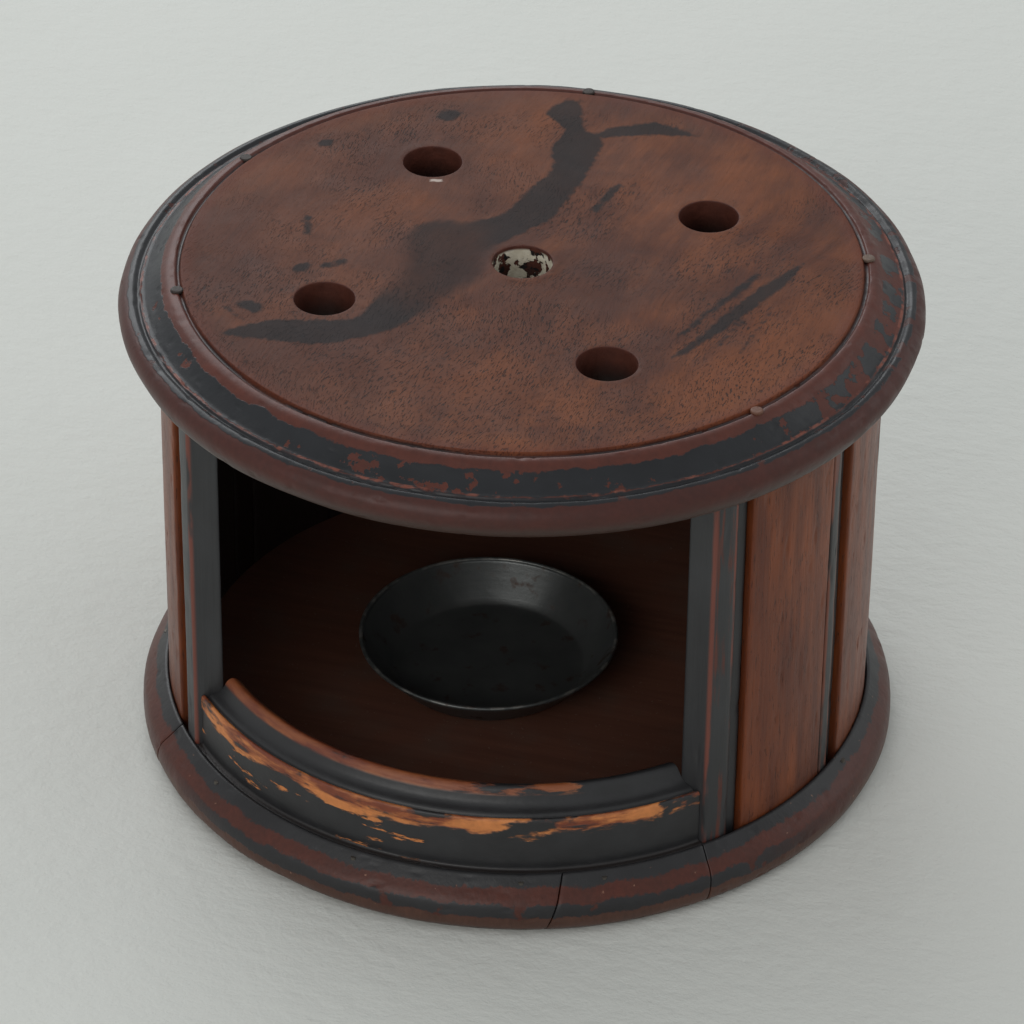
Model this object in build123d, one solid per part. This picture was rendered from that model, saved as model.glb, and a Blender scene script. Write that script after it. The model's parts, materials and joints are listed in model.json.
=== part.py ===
from build123d import *
import math
import os

# Round wooden foot warmer: a drum of staves under a moulded top board with warm-air holes,
# an open front with a moulded sill, a jointed base ring and a loose metal coal pan inside.
# Millimetres. +Z is up, the open front faces -Y, and the origin is the centre of the underside.
# Bearings are degrees round the drum from the front (-Y) towards +X.

# Driving dimensions
TOTAL_HEIGHT = 162.2
TOP_RADIUS = 120.0
WALL_RADIUS = 108.5
WALL_THICKNESS = 8.5
BASE_RADIUS = 117.0
BASE_HEIGHT = 17.8
OPENING_HALF_ANGLE = 47.8
PANEL_COUNT = 10
HOLE_RADIUS = 9.0
HOLE_PLACES = [(60.1, 40.8), (62.0, 132.3), (63.5, 222.5), (61.8, 307.1)]
CHAMBER_FLOOR = 14.0
FLOOR_BOARD_CLEARANCE = 0.1

# Top board: rounded nosing, fillet, ogee, quirk groove and flat disc
BOARD_UNDERSIDE = 143.4
NOSING_CENTRE = 151.2
FILLET_RADIUS = 113.5
FILLET_HEIGHT = NOSING_CENTRE + 4.2
QUIRK_RADIUS = 102.0
QUIRK_HALF_WIDTH = 0.9
QUIRK_FLOOR_HALF_WIDTH = 0.2
QUIRK_DEPTH = 1.1

# Wall: each stile is a flat strip with one rounded edge and a groove beside it
WALL_FOOT = 1.0
WALL_INNER_RADIUS = WALL_RADIUS - WALL_THICKNESS
GROOVE_DEPTH = 2.3
GROOVE_FLOOR_RADIUS = WALL_RADIUS - GROOVE_DEPTH
POST_STRIP_ANGLE = 4.6
POST_GROOVE_ANGLE = 2.4
STILE_STRIP_ANGLE = 3.3
STILE_GROOVE_ANGLE = 2.9
STRIP_ROUND_ANGLE = 1.2
STRIP_ROUND_DROP = 0.65
REVEAL_SPLAY = 25.0
PANEL_EDGE_RADIUS = 0.5

# Sill
SILL_FACE_RADIUS = 106.5
SILL_INNER_RADIUS = 94.8
SILL_CREST_RADIUS = 98.6
SILL_FACE_TOP = 35.4
SILL_CREST_HEIGHT = 42.2
SILL_FOOT_TOP = BASE_HEIGHT - 0.6
SILL_CUT_REACH = 25.0

# Base ring
RING_CLEARANCE = 0.1
RING_WIDEST_HEIGHT = 6.6
RING_FOOT_RADIUS = 113.2
RING_LIP_RADIUS = 114.0

# Base ring joints: bearing of each joint at the underside and at the top of the ring
RING_JOINT_GAP = 0.3
RING_SEGMENTS = [
    ("base_ring_front_left", (-54.6, -53.2), (20.9, 23.9)),
    ("base_ring_front_right", (20.9, 23.9), (46.0, 47.2)),
    ("base_ring_right", (46.0, 47.2), (133.1, 133.1)),
    ("base_ring_back", (133.1, 133.1), (219.7, 219.7)),
    ("base_ring_left", (219.7, 219.7), (305.4, 306.8)),
]
PIN_BEARINGS = [-38.0, -9.0, 17.5, 30.3, 80.0, 120.0, 160.0, 200.0, 240.0, 280.0]
PIN_CIRCLE_RADIUS = 111.0
PIN_SHANK_RADIUS = 0.5
PIN_HEAD_RADIUS = 0.8
PIN_HEAD_THICKNESS = 0.8
PIN_LENGTH = 8.0
PIN_SINK = 1.9

# Nails through the top board into the wall panels
NAIL_BEARINGS = [57.2, 109.1, 185.3, 252.1, 296.5]
NAIL_CIRCLE_RADIUS = 102.9
NAIL_HEAD_RADIUS = 1.9
NAIL_HEAD_HEIGHT = 0.9
NAIL_HEAD_PROUD = 0.25
NAIL_SHANK_RADIUS = 1.0
NAIL_LENGTH = 36.0
NAIL_POINT_LENGTH = 3.0
NAIL_POINT_RADIUS = 0.2

# Coal pan
PAN_CENTRE = (-8.8, -2.1)
PAN_RIM_RADIUS = 40.5
PAN_FOOT_RADIUS = 30.0
PAN_HEIGHT = 12.4
PAN_SHEET = 0.8
PAN_LIP_RADIUS = 0.75
PAN_REST_GAP = 0.2


def polar(radius, bearing):
    """Point of the plan at a radius and a bearing from the front."""
    angle = math.radians(bearing)
    return (radius * math.sin(angle), -radius * math.cos(angle))


def plan_arc(radius, start, end):
    """Arc of the plan at one radius, between two bearings."""
    return ThreePointArc(polar(radius, start), polar(radius, (start + end) / 2), polar(radius, end))


def turned(edges):
    """Solid turned about Z from edges drawn as (radius, height)."""
    return revolve(Plane.XZ * make_face(edges), Axis.Z)


def wedge(start, end, height):
    """Tall wedge from the axis between two joints, each a (bottom, top) pair of bearings."""
    reach = 2 * BASE_RADIUS
    outlines = []
    for level in (0, 1):
        first, last = start[level], end[level]
        steps = [first + (last - first) * k / 3 for k in range(4)]
        outline = Polyline((0, 0), *[polar(reach, step) for step in steps], close=True)
        outlines.append(Pos(0, 0, height * level) * make_face(outline))
    return loft(outlines, ruled=True)


def reveal_direction(side):
    """Unit vector from the front corner of a post to its inner corner; side is 1 or -1."""
    angle = math.radians(OPENING_HALF_ANGLE + REVEAL_SPLAY)
    return (-side * math.sin(angle), math.cos(angle))


def reveal_point(side, distance):
    """Point on the post's splayed face, a distance inwards from its front corner."""
    corner = polar(WALL_RADIUS, side * OPENING_HALF_ANGLE)
    direction = reveal_direction(side)
    return (corner[0] + distance * direction[0], corner[1] + distance * direction[1])


def reveal_depth():
    """Length of the splayed face from the front corner to the wall's inner radius."""
    corner = polar(WALL_RADIUS, OPENING_HALF_ANGLE)
    direction = reveal_direction(1)
    along = corner[0] * direction[0] + corner[1] * direction[1]
    return -along - math.sqrt(along**2 - WALL_RADIUS**2 + WALL_INNER_RADIUS**2)


def wall_piece(outline):
    """Upright wall piece of the given plan outline, from the foot to the board."""
    height = BOARD_UNDERSIDE - WALL_FOOT
    return Pos(0, 0, WALL_FOOT) * extrude(make_face(outline), amount=height)


def strip_round(edge_bearing, toward):
    """Rounded edge of a strip, falling to the groove floor; toward is 1 or -1."""
    start = polar(WALL_RADIUS, edge_bearing - toward * STRIP_ROUND_ANGLE)
    middle = polar(WALL_RADIUS - STRIP_ROUND_DROP, edge_bearing - toward * STRIP_ROUND_ANGLE * 0.3)
    return ThreePointArc(start, middle, polar(GROOVE_FLOOR_RADIUS, edge_bearing))


def post(side):
    """Front post: splayed reveal, worn strip with a rounded edge, and a groove."""
    corner = side * OPENING_HALF_ANGLE
    groove_start = side * (OPENING_HALF_ANGLE + POST_STRIP_ANGLE)
    groove_end = side * (OPENING_HALF_ANGLE + POST_STRIP_ANGLE + POST_GROOVE_ANGLE)
    inner_corner = reveal_point(side, reveal_depth())
    inner_bearing = math.degrees(math.atan2(inner_corner[0], -inner_corner[1]))
    strip_end = groove_start - side * STRIP_ROUND_ANGLE
    outline = [
        plan_arc(WALL_RADIUS, corner, strip_end),
        strip_round(groove_start, side),
        plan_arc(GROOVE_FLOOR_RADIUS, groove_start, groove_end),
        Line(polar(GROOVE_FLOOR_RADIUS, groove_end), polar(WALL_INNER_RADIUS, groove_end)),
        plan_arc(WALL_INNER_RADIUS, groove_end, inner_bearing),
        Line(polar(WALL_INNER_RADIUS, inner_bearing), polar(WALL_RADIUS, corner)),
    ]
    return wall_piece(outline)


def stile(start):
    """Stile between two panels: flat strip, rounded edge and groove."""
    groove_start = start + STILE_STRIP_ANGLE
    end = groove_start + STILE_GROOVE_ANGLE
    outline = [
        plan_arc(WALL_RADIUS, start, groove_start - STRIP_ROUND_ANGLE),
        strip_round(groove_start, 1),
        plan_arc(GROOVE_FLOOR_RADIUS, groove_start, end),
        Line(polar(GROOVE_FLOOR_RADIUS, end), polar(WALL_INNER_RADIUS, end)),
        plan_arc(WALL_INNER_RADIUS, end, start),
        Line(polar(WALL_INNER_RADIUS, start), polar(WALL_RADIUS, start)),
    ]
    return wall_piece(outline)


def panel(start, end):
    """Curved mahogany panel with softened outer edges."""
    outline = [
        plan_arc(WALL_RADIUS, start, end),
        Line(polar(WALL_RADIUS, end), polar(WALL_INNER_RADIUS, end)),
        plan_arc(WALL_INNER_RADIUS, end, start),
        Line(polar(WALL_INNER_RADIUS, start), polar(WALL_RADIUS, start)),
    ]
    plan = make_face(outline)
    outer = [v for v in plan.vertices() if math.hypot(v.X, v.Y) > WALL_RADIUS - 1]
    plan = fillet(outer, PANEL_EDGE_RADIUS)
    return Pos(0, 0, WALL_FOOT) * extrude(plan, amount=BOARD_UNDERSIDE - WALL_FOOT)


def top_board():
    """Disc with a moulded edge, five warm-air holes and holes for the nails."""
    quirk_in = QUIRK_RADIUS - QUIRK_HALF_WIDTH
    quirk_floor = TOTAL_HEIGHT - QUIRK_DEPTH
    shoulder_start = (QUIRK_RADIUS + QUIRK_HALF_WIDTH, TOTAL_HEIGHT - 0.15)
    shoulder = (105.4, TOTAL_HEIGHT - 0.8)
    shoulder_foot = (109.3, TOTAL_HEIGHT - 4.3)
    ogee_foot = (FILLET_RADIUS - 1.3, FILLET_HEIGHT + 0.2)
    fillet_edge = (FILLET_RADIUS, FILLET_HEIGHT)
    groove = (FILLET_RADIUS + 0.4, FILLET_HEIGHT - 1.0)
    nosing_front = (TOP_RADIUS, NOSING_CENTRE - 0.2)
    nosing_foot = (TOP_RADIUS - 6.0, BOARD_UNDERSIDE)
    profile = [
        Polyline((0, BOARD_UNDERSIDE), (0, TOTAL_HEIGHT), (quirk_in, TOTAL_HEIGHT),
                 (QUIRK_RADIUS - QUIRK_FLOOR_HALF_WIDTH, quirk_floor),
                 (QUIRK_RADIUS + QUIRK_FLOOR_HALF_WIDTH, quirk_floor), shoulder_start),
        Spline(shoulder_start, shoulder, shoulder_foot, ogee_foot,
               tangents=[(1, 0.05), (1, -0.12)]),
        Polyline(ogee_foot, fillet_edge, groove),
        Spline(groove, (TOP_RADIUS - 4.2, NOSING_CENTRE + 4.2), (TOP_RADIUS - 1.4, NOSING_CENTRE + 2.6),
               nosing_front, tangents=[(1, 0.8), (0, -1)]),
        Spline(nosing_front, (TOP_RADIUS - 0.7, NOSING_CENTRE - 3.9), (TOP_RADIUS - 2.6, NOSING_CENTRE - 6.7),
               nosing_foot, tangents=[(0, -1), (-1, 0)]),
        Line(nosing_foot, (0, BOARD_UNDERSIDE)),
    ]
    board = turned(profile)
    thickness = TOTAL_HEIGHT - BOARD_UNDERSIDE
    for centre in [(0, 0)] + [polar(radius, bearing) for radius, bearing in HOLE_PLACES]:
        drill = Pos(centre[0], centre[1], BOARD_UNDERSIDE + thickness / 2)
        board -= drill * Cylinder(HOLE_RADIUS, 2 * thickness)
    return board


def front_sill():
    """Curved sill between the posts: plain face, quirk, cove and rounded crest."""
    profile = [
        Polyline((WALL_INNER_RADIUS, WALL_FOOT), (WALL_RADIUS, WALL_FOOT),
                 (WALL_RADIUS, SILL_FOOT_TOP), (SILL_FACE_RADIUS, SILL_FOOT_TOP),
                 (SILL_FACE_RADIUS, SILL_FACE_TOP - 0.6)),
        ThreePointArc((SILL_FACE_RADIUS, SILL_FACE_TOP - 0.6),
                      (SILL_FACE_RADIUS - 0.35, SILL_FACE_TOP + 0.1),
                      (SILL_FACE_RADIUS - 1.1, SILL_FACE_TOP + 0.3)),
        Polyline((SILL_FACE_RADIUS - 1.1, SILL_FACE_TOP + 0.3),
                 (SILL_FACE_RADIUS - 1.8, SILL_FACE_TOP - 0.8),
                 (SILL_FACE_RADIUS - 2.4, SILL_FACE_TOP + 0.4)),
        ThreePointArc((SILL_FACE_RADIUS - 2.4, SILL_FACE_TOP + 0.4),
                      (SILL_CREST_RADIUS + 2.6, SILL_FACE_TOP + 2.0),
                      (SILL_CREST_RADIUS + 0.6, SILL_CREST_HEIGHT - 0.9)),
        ThreePointArc((SILL_CREST_RADIUS + 0.6, SILL_CREST_HEIGHT - 0.9),
                      (SILL_CREST_RADIUS - 0.9, SILL_CREST_HEIGHT),
                      (SILL_INNER_RADIUS + 0.6, SILL_CREST_HEIGHT - 1.4)),
        Polyline((SILL_INNER_RADIUS + 0.6, SILL_CREST_HEIGHT - 1.4),
                 (SILL_INNER_RADIUS, SILL_CREST_HEIGHT - 3.4),
                 (SILL_INNER_RADIUS, CHAMBER_FLOOR), (WALL_INNER_RADIUS, CHAMBER_FLOOR),
                 (WALL_INNER_RADIUS, WALL_FOOT)),
    ]
    ring = turned(profile)
    side_x = reveal_point(1, -SILL_CUT_REACH)[0]
    mouth = Polyline(reveal_point(1, SILL_CUT_REACH), reveal_point(1, -SILL_CUT_REACH),
                     (side_x, -TOP_RADIUS), (-side_x, -TOP_RADIUS),
                     reveal_point(-1, -SILL_CUT_REACH), reveal_point(-1, SILL_CUT_REACH), close=True)
    return ring & extrude(make_face(mouth), amount=TOTAL_HEIGHT)


def base_ring():
    """Whole base moulding before it is sawn into segments."""
    inner = WALL_RADIUS + RING_CLEARANCE
    widest = (BASE_RADIUS, RING_WIDEST_HEIGHT)
    lip = (RING_LIP_RADIUS, 0.5)
    foot = (RING_FOOT_RADIUS, 0)
    profile = [
        Line((inner, 0), (inner, BASE_HEIGHT - 0.3)),
        Polyline((inner, BASE_HEIGHT - 0.3), (inner + 0.5, BASE_HEIGHT), (inner + 1.2, BASE_HEIGHT - 0.2)),
        Spline((inner + 1.2, BASE_HEIGHT - 0.2), (112.6, 14.7), (116.0, 11.0), widest,
               tangents=[(1, -0.55), (0, -1)]),
        Spline(widest, (116.3, 3.0), lip, tangents=[(0, -1), (-1, -0.55)]),
        Line(lip, foot),
        Line(foot, (inner, 0)),
    ]
    return turned(profile)


def ring_segment(ring, start, end):
    """One segment of the base ring, with half the joint gap taken from each end."""
    half_gap = math.degrees(RING_JOINT_GAP / 2 / BASE_RADIUS)
    first = tuple(bearing + half_gap for bearing in start)
    last = tuple(bearing - half_gap for bearing in end)
    return ring & wedge(first, last, BASE_HEIGHT + 2)


def pin(bearing):
    """Small pin driven down through the ring's shoulder."""
    head = Cylinder(PIN_HEAD_RADIUS, PIN_HEAD_THICKNESS)
    shank = Pos(0, 0, -PIN_LENGTH / 2) * Cylinder(PIN_SHANK_RADIUS, PIN_LENGTH)
    place = Pos(*polar(PIN_CIRCLE_RADIUS, bearing), BASE_HEIGHT - PIN_SINK)
    return place * (head + shank)


def nail(bearing):
    """Nail with a low rounded head, through the board into the wall."""
    head_base = TOTAL_HEIGHT + NAIL_HEAD_PROUD - NAIL_HEAD_HEIGHT
    shank_length = NAIL_LENGTH - NAIL_POINT_LENGTH
    head_place = Pos(0, 0, head_base + NAIL_HEAD_HEIGHT / 2)
    head = head_place * Cylinder(NAIL_HEAD_RADIUS, NAIL_HEAD_HEIGHT)
    head = fillet(head.edges().sort_by(Axis.Z)[-1], NAIL_HEAD_HEIGHT / 2)
    shank = Pos(0, 0, head_base - shank_length / 2) * Cylinder(NAIL_SHANK_RADIUS, shank_length)
    point_centre = head_base - shank_length - NAIL_POINT_LENGTH / 2
    point = Pos(0, 0, point_centre) * Cone(NAIL_POINT_RADIUS, NAIL_SHANK_RADIUS, NAIL_POINT_LENGTH)
    return Pos(*polar(NAIL_CIRCLE_RADIUS, bearing), 0) * (head + shank + point)


def bottom_board():
    """Plain disc inside the foot of the wall."""
    thickness = CHAMBER_FLOOR - WALL_FOOT
    return Pos(0, 0, WALL_FOOT + thickness / 2) * Cylinder(WALL_INNER_RADIUS - FLOOR_BOARD_CLEARANCE, thickness)


def coal_pan():
    """Raised sheet-metal pan with a flared wall and a rolled lip."""
    rise = PAN_HEIGHT - PAN_LIP_RADIUS
    lip_centre = PAN_RIM_RADIUS - PAN_LIP_RADIUS
    run = lip_centre - PAN_FOOT_RADIUS
    slant = math.hypot(rise, run)
    half_x = PAN_SHEET / 2 * rise / slant
    half_z = PAN_SHEET / 2 * run / slant
    inner_corner = PAN_FOOT_RADIUS - half_x + (PAN_SHEET - half_z) * run / rise
    shell = turned([Polyline((0, 0), (PAN_FOOT_RADIUS + half_x, 0), (lip_centre + half_x, rise - half_z),
                             (lip_centre - half_x, rise + half_z), (inner_corner, PAN_SHEET),
                             (0, PAN_SHEET), (0, 0))])
    pan = shell + Pos(0, 0, rise) * Torus(lip_centre, PAN_LIP_RADIUS)
    return Pos(*PAN_CENTRE, CHAMBER_FLOOR + PAN_REST_GAP) * pan


def wall_layout():
    """Bearings of the panels and stiles from the right post round to the left post."""
    wall_start = OPENING_HALF_ANGLE + POST_STRIP_ANGLE + POST_GROOVE_ANGLE
    stile_angle = STILE_STRIP_ANGLE + STILE_GROOVE_ANGLE
    panel_angle = (360 - 2 * wall_start - (PANEL_COUNT - 1) * stile_angle) / PANEL_COUNT
    panels = [wall_start + k * (panel_angle + stile_angle) for k in range(PANEL_COUNT)]
    stiles = [start + panel_angle for start in panels[:-1]]
    return panels, stiles, panel_angle


def build():
    """All nodes of the foot warmer, by name."""
    nodes = {"top_board": top_board(), "post_right": post(1), "post_left": post(-1)}
    panels, stiles, panel_angle = wall_layout()
    for number, start in enumerate(panels, 1):
        nodes[f"wall_panel_{number:02d}"] = panel(start, start + panel_angle)
    for number, start in enumerate(stiles, 1):
        nodes[f"wall_stile_{number:02d}"] = stile(start)
    nodes["front_sill"] = front_sill()
    nodes["bottom_board"] = bottom_board()
    nodes["coal_pan"] = coal_pan()

    for number, bearing in enumerate(NAIL_BEARINGS, 1):
        nodes[f"top_nail_{number}"] = nail(bearing)
        struck = [name for name in nodes if name.startswith(("wall_panel", "top_board"))]
        for name in struck:
            nodes[name] -= nodes[f"top_nail_{number}"]

    ring = base_ring()
    pins = [pin(bearing) for bearing in PIN_BEARINGS]
    for ring_pin in pins:
        ring -= ring_pin
    for name, start, end in RING_SEGMENTS:
        nodes[name] = ring_segment(ring, start, end)
    nodes["base_pins"] = Compound(children=[p.solid() for p in pins])
    return nodes


os.makedirs("parts", exist_ok=True)
for node_name, shape in build().items():
    export_step(shape, f"parts/{node_name}.step")
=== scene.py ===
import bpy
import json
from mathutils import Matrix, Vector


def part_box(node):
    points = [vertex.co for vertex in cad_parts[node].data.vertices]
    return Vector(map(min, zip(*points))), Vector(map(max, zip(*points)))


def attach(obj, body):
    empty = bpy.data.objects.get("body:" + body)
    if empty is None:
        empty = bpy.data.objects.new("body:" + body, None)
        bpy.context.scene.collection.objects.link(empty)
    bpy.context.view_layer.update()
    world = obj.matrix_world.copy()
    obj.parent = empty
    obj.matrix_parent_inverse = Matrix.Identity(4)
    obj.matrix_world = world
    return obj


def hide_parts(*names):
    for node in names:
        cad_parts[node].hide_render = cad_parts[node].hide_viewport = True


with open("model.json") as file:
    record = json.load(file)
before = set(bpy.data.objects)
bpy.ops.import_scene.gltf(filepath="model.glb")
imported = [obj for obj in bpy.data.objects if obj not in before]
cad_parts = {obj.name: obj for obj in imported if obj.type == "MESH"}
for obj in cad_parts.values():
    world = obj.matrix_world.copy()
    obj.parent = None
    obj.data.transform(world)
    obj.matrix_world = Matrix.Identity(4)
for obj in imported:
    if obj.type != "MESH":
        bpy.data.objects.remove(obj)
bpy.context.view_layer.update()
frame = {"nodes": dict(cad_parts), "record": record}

import json
import math

import bmesh
import bpy
import numpy as np
from mathutils import Matrix, Vector
from mathutils.geometry import delaunay_2d_cdt

# Round foot warmer: worn ebonised mouldings and mahogany, an open front and a loose iron coal pan.
# Sizes are in millimetres until a mesh is made. Bearings are degrees from the front (-Y) towards +X.

MM = 0.001
PAN_LOW, PAN_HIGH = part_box("coal_pan")
PAN_CENTRE = ((PAN_LOW.x + PAN_HIGH.x) / 2 / MM, (PAN_LOW.y + PAN_HIGH.y) / 2 / MM)
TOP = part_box("top_board")[1].z / MM
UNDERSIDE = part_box("top_board")[0].z / MM
TOP_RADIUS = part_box("top_board")[1].x / MM
WALL_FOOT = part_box("wall_panel_05")[0].z / MM
CHAMBER_FLOOR = 14.0
WALL_RADIUS = 108.5
WALL_INNER = 100.0
GROOVE_RADIUS = 106.2
NOSING_CENTRE = 151.2
FILLET_RADIUS = 113.5
FILLET_HEIGHT = NOSING_CENTRE + 4.2
DISC_EDGE = 100.6
HOLE_RADIUS = 9.0
HOLE_EDGE = 0.3
HOLES = [tuple(v / MM for v in mount["pos_m"][:2])
         for mount in frame["record"]["mounts"] if mount["kind"] == "bore"]
RIM_COUNT = 600
HOLE_COUNT = 88
OPENING_HALF_ANGLE = 47.8
PANEL_COUNT = 10
POST_STRIP, POST_GROOVE = 4.6, 2.4
STILE_STRIP, STILE_GROOVE = 3.3, 2.9
STRIP_ROUND = 1.2
REVEAL_SPLAY = 25.0
BASE_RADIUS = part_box("base_ring_back")[1].y / MM
RING_INNER = 108.6
RING_GAP = 0.14
RING_SEGMENTS = {
    "base_ring_front_left": ((-54.6, -53.2), (20.9, 23.9)),
    "base_ring_front_right": ((20.9, 23.9), (46.0, 47.2)),
    "base_ring_right": ((46.0, 47.2), (133.1, 133.1)),
    "base_ring_back": ((133.1, 133.1), (219.7, 219.7)),
    "base_ring_left": ((219.7, 219.7), (305.4, 306.8)),
}


# Outlines

def straight(start, end, step=0.45):
    """Points from start towards end, without the end itself."""
    count = max(1, round(math.dist(start, end) / step))
    return [tuple(np.array(start) + (np.array(end) - np.array(start)) * k / count) for k in range(count)]


def corners(*points, step=0.45):
    """Points along a run of straight lines, without the last corner."""
    run = []
    for start, end in zip(points, points[1:]):
        run += straight(start, end, step)
    return run


def arc(centre, radius, start, end, step=0.45):
    """Points of an arc without its end; angles in degrees from +r towards +z."""
    count = max(2, round(abs(math.radians(end - start)) * radius / step))
    angles = [math.radians(start + (end - start) * k / count) for k in range(count)]
    return [(centre[0] + radius * math.cos(a), centre[1] + radius * math.sin(a)) for a in angles]


def curve(points, step=0.45, closed=False):
    """Smooth line through the points; an open one leaves out its last point."""
    p = np.array(points, float)
    if closed:
        p = np.vstack([p[-1], p, p[:2]])
    else:
        p = np.vstack([2 * p[0] - p[1], p, 2 * p[-1] - p[-2]])
    line = []
    for a, b, c, d in zip(p, p[1:], p[2:], p[3:]):
        count = max(2, round(float(np.linalg.norm(c - b)) / step))
        for t in np.arange(count) / count:
            line.append(tuple(0.5 * (2 * b + (c - a) * t + (2 * a - 5 * b + 4 * c - d) * t * t
                                     + (3 * b - a - 3 * c + d) * t**3)))
    return line


def softened(loop, passes):
    """Closed loop with its corners worn round."""
    p = np.array(loop, float)
    for _ in range(passes):
        p = (np.roll(p, 1, 0) + 2 * p + np.roll(p, -1, 0)) / 4
    return p


def loop_normals(loop):
    """Outward normals of a closed counter-clockwise loop."""
    along = np.roll(loop, -1, 0) - np.roll(loop, 1, 0)
    length = np.maximum(np.linalg.norm(along, axis=1, keepdims=True), 1e-9)
    return np.stack([along[:, 1], -along[:, 0]], 1) / length


def counter_clockwise(loop):
    """The loop, turned round if it runs clockwise."""
    p = np.array(loop, float)
    area = np.sum(p[:, 0] * np.roll(p[:, 1], -1) - p[:, 1] * np.roll(p[:, 0], -1))
    return p if area > 0 else p[::-1]


def polar(radius, bearing):
    """Point of the plan at a radius and bearing; both may be arrays."""
    angle = np.radians(bearing)
    return np.stack([radius * np.sin(angle), -radius * np.cos(angle)], -1)


def raised(plan, height):
    """Plan points with a height each, or one for all."""
    return np.column_stack([plan, np.broadcast_to(height, len(plan))])


def plan_arc(radius, start, end, step=0.6):
    """Plan points at one radius between two bearings, without the last."""
    count = max(2, round(abs(math.radians(end - start)) * radius / step))
    return [tuple(polar(radius, start + (end - start) * k / count)) for k in range(count)]


# Irregularity

def ripples(points, wavelength, seed, count=14):
    """Smooth seeded field from about -1 to 1, varying over a wavelength."""
    rng = np.random.default_rng(seed)
    directions = rng.normal(size=(count, 3))
    directions /= np.linalg.norm(directions, axis=1, keepdims=True)
    pitch = 2 * math.pi / wavelength * rng.uniform(0.6, 1.7, count)
    phases = rng.uniform(0, 2 * math.pi, count)
    waves = np.sin(points @ directions.T * pitch + phases)
    return waves.sum(1) * math.sqrt(2.0 / count) * 0.6


def smoothstep(low, high, value):
    """0 below low, 1 above high, smooth between."""
    t = np.clip((value - low) / (high - low), 0, 1)
    return t * t * (3 - 2 * t)


def wear(points, seed, depth, nick):
    """Depth of wear at each point: a slow waviness, small dents and rare deeper nicks."""
    slow = 0.5 + 0.5 * ripples(points, 42, seed)
    dents = smoothstep(0.75, 1.5, ripples(points, 9, seed + 1))
    nicks = smoothstep(1.0, 1.5, ripples(points, 4, seed + 2))
    return depth * slow + nick * (0.5 * dents + nicks)


# Meshes

def make_piece(name, points, faces, node, materials, picker=None):
    """Mesh object from millimetre points, standing for a CAD node."""
    mesh = bpy.data.meshes.new(name)
    mesh.from_pydata([tuple(p) for p in np.array(points) * MM], [], [tuple(f) for f in faces])
    tidy = bmesh.new()
    tidy.from_mesh(mesh)
    bmesh.ops.remove_doubles(tidy, verts=tidy.verts, dist=1e-6)
    bmesh.ops.recalc_face_normals(tidy, faces=tidy.faces)
    tidy.to_mesh(mesh)
    tidy.free()
    mesh.shade_smooth()
    piece = bpy.data.objects.new(name, mesh)
    bpy.context.scene.collection.objects.link(piece)
    for material in materials:
        mesh.materials.append(material)
    if picker:
        for polygon in mesh.polygons:
            polygon.material_index = picker(polygon.center / MM)
    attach(piece, "pan" if node == "coal_pan" else "drum")
    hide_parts(node)
    return piece


def grid_faces(rows, columns, wrap_rows):
    """Quads of a grid whose columns always close; rows close too if asked."""
    index = np.arange(rows * columns).reshape(rows, columns)
    after = np.roll(index, -1, 0) if wrap_rows else index[1:]
    before = index if wrap_rows else index[:-1]
    quads = np.stack([before, np.roll(before, -1, 1), np.roll(after, -1, 1), after], -1)
    return quads.reshape(-1, 4).tolist()


def swept(name, profile, start, end, node, materials, count, seed, depth, nick, arris=0.5):
    """Closed (r, z) profile carried between two bearings, each a function of r and z."""
    loop = counter_clockwise(profile)
    normals = loop_normals(loop)
    near = np.array([0.0, 0.00012, 0.0004, 0.001, 0.002, 0.0035])
    along = np.concatenate([near, np.linspace(0.006, 0.994, count), 1 - near[::-1]])
    radius, height = loop[:, 0], loop[:, 1]
    first, last = start(radius, height), end(radius, height)
    rows = []
    for t in along:
        bearing = first + (last - first) * t
        place = raised(polar(radius, bearing), height)
        reach = np.radians(last - first) * radius * min(t, 1 - t)
        edge = np.clip(1 - reach / arris, 0, 1)
        inset = wear(place, seed, depth, nick) + arris * (1 - np.sqrt(1 - edge**2 + 1e-9))
        flat = (height < 0.02) | (radius < RING_INNER + 0.02)
        inset = np.where(flat, 0, inset)
        r = radius - normals[:, 0] * inset
        z = height - normals[:, 1] * inset
        rows.append(raised(polar(r, bearing), z))
    faces = grid_faces(len(rows), len(loop), False)
    size = len(loop)
    faces.append(list(range(size))[::-1])
    faces.append([size * (len(rows) - 1) + k for k in range(size)])
    return make_piece(name, np.concatenate(rows), faces, node, materials)


def turned(name, profile, centre, node, materials, count, seed, depth, nick, picker=None):
    """Closed (r, z) profile turned a full circle about a centre of the plan."""
    loop = counter_clockwise(profile)
    normals = loop_normals(loop)
    rows = []
    for bearing in np.arange(count) * 360 / count:
        place = raised(polar(loop[:, 0], bearing), loop[:, 1])
        inset = np.minimum(wear(place, seed, depth, nick), 0.5 * loop[:, 0])
        r = np.maximum(loop[:, 0] - normals[:, 0] * inset, 0)
        z = loop[:, 1] - normals[:, 1] * inset
        rows.append(raised(polar(r, bearing) + np.array(centre), z))
    faces = grid_faces(count, len(loop), True)
    return make_piece(name, np.concatenate(rows), faces, node, materials, picker)


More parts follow.
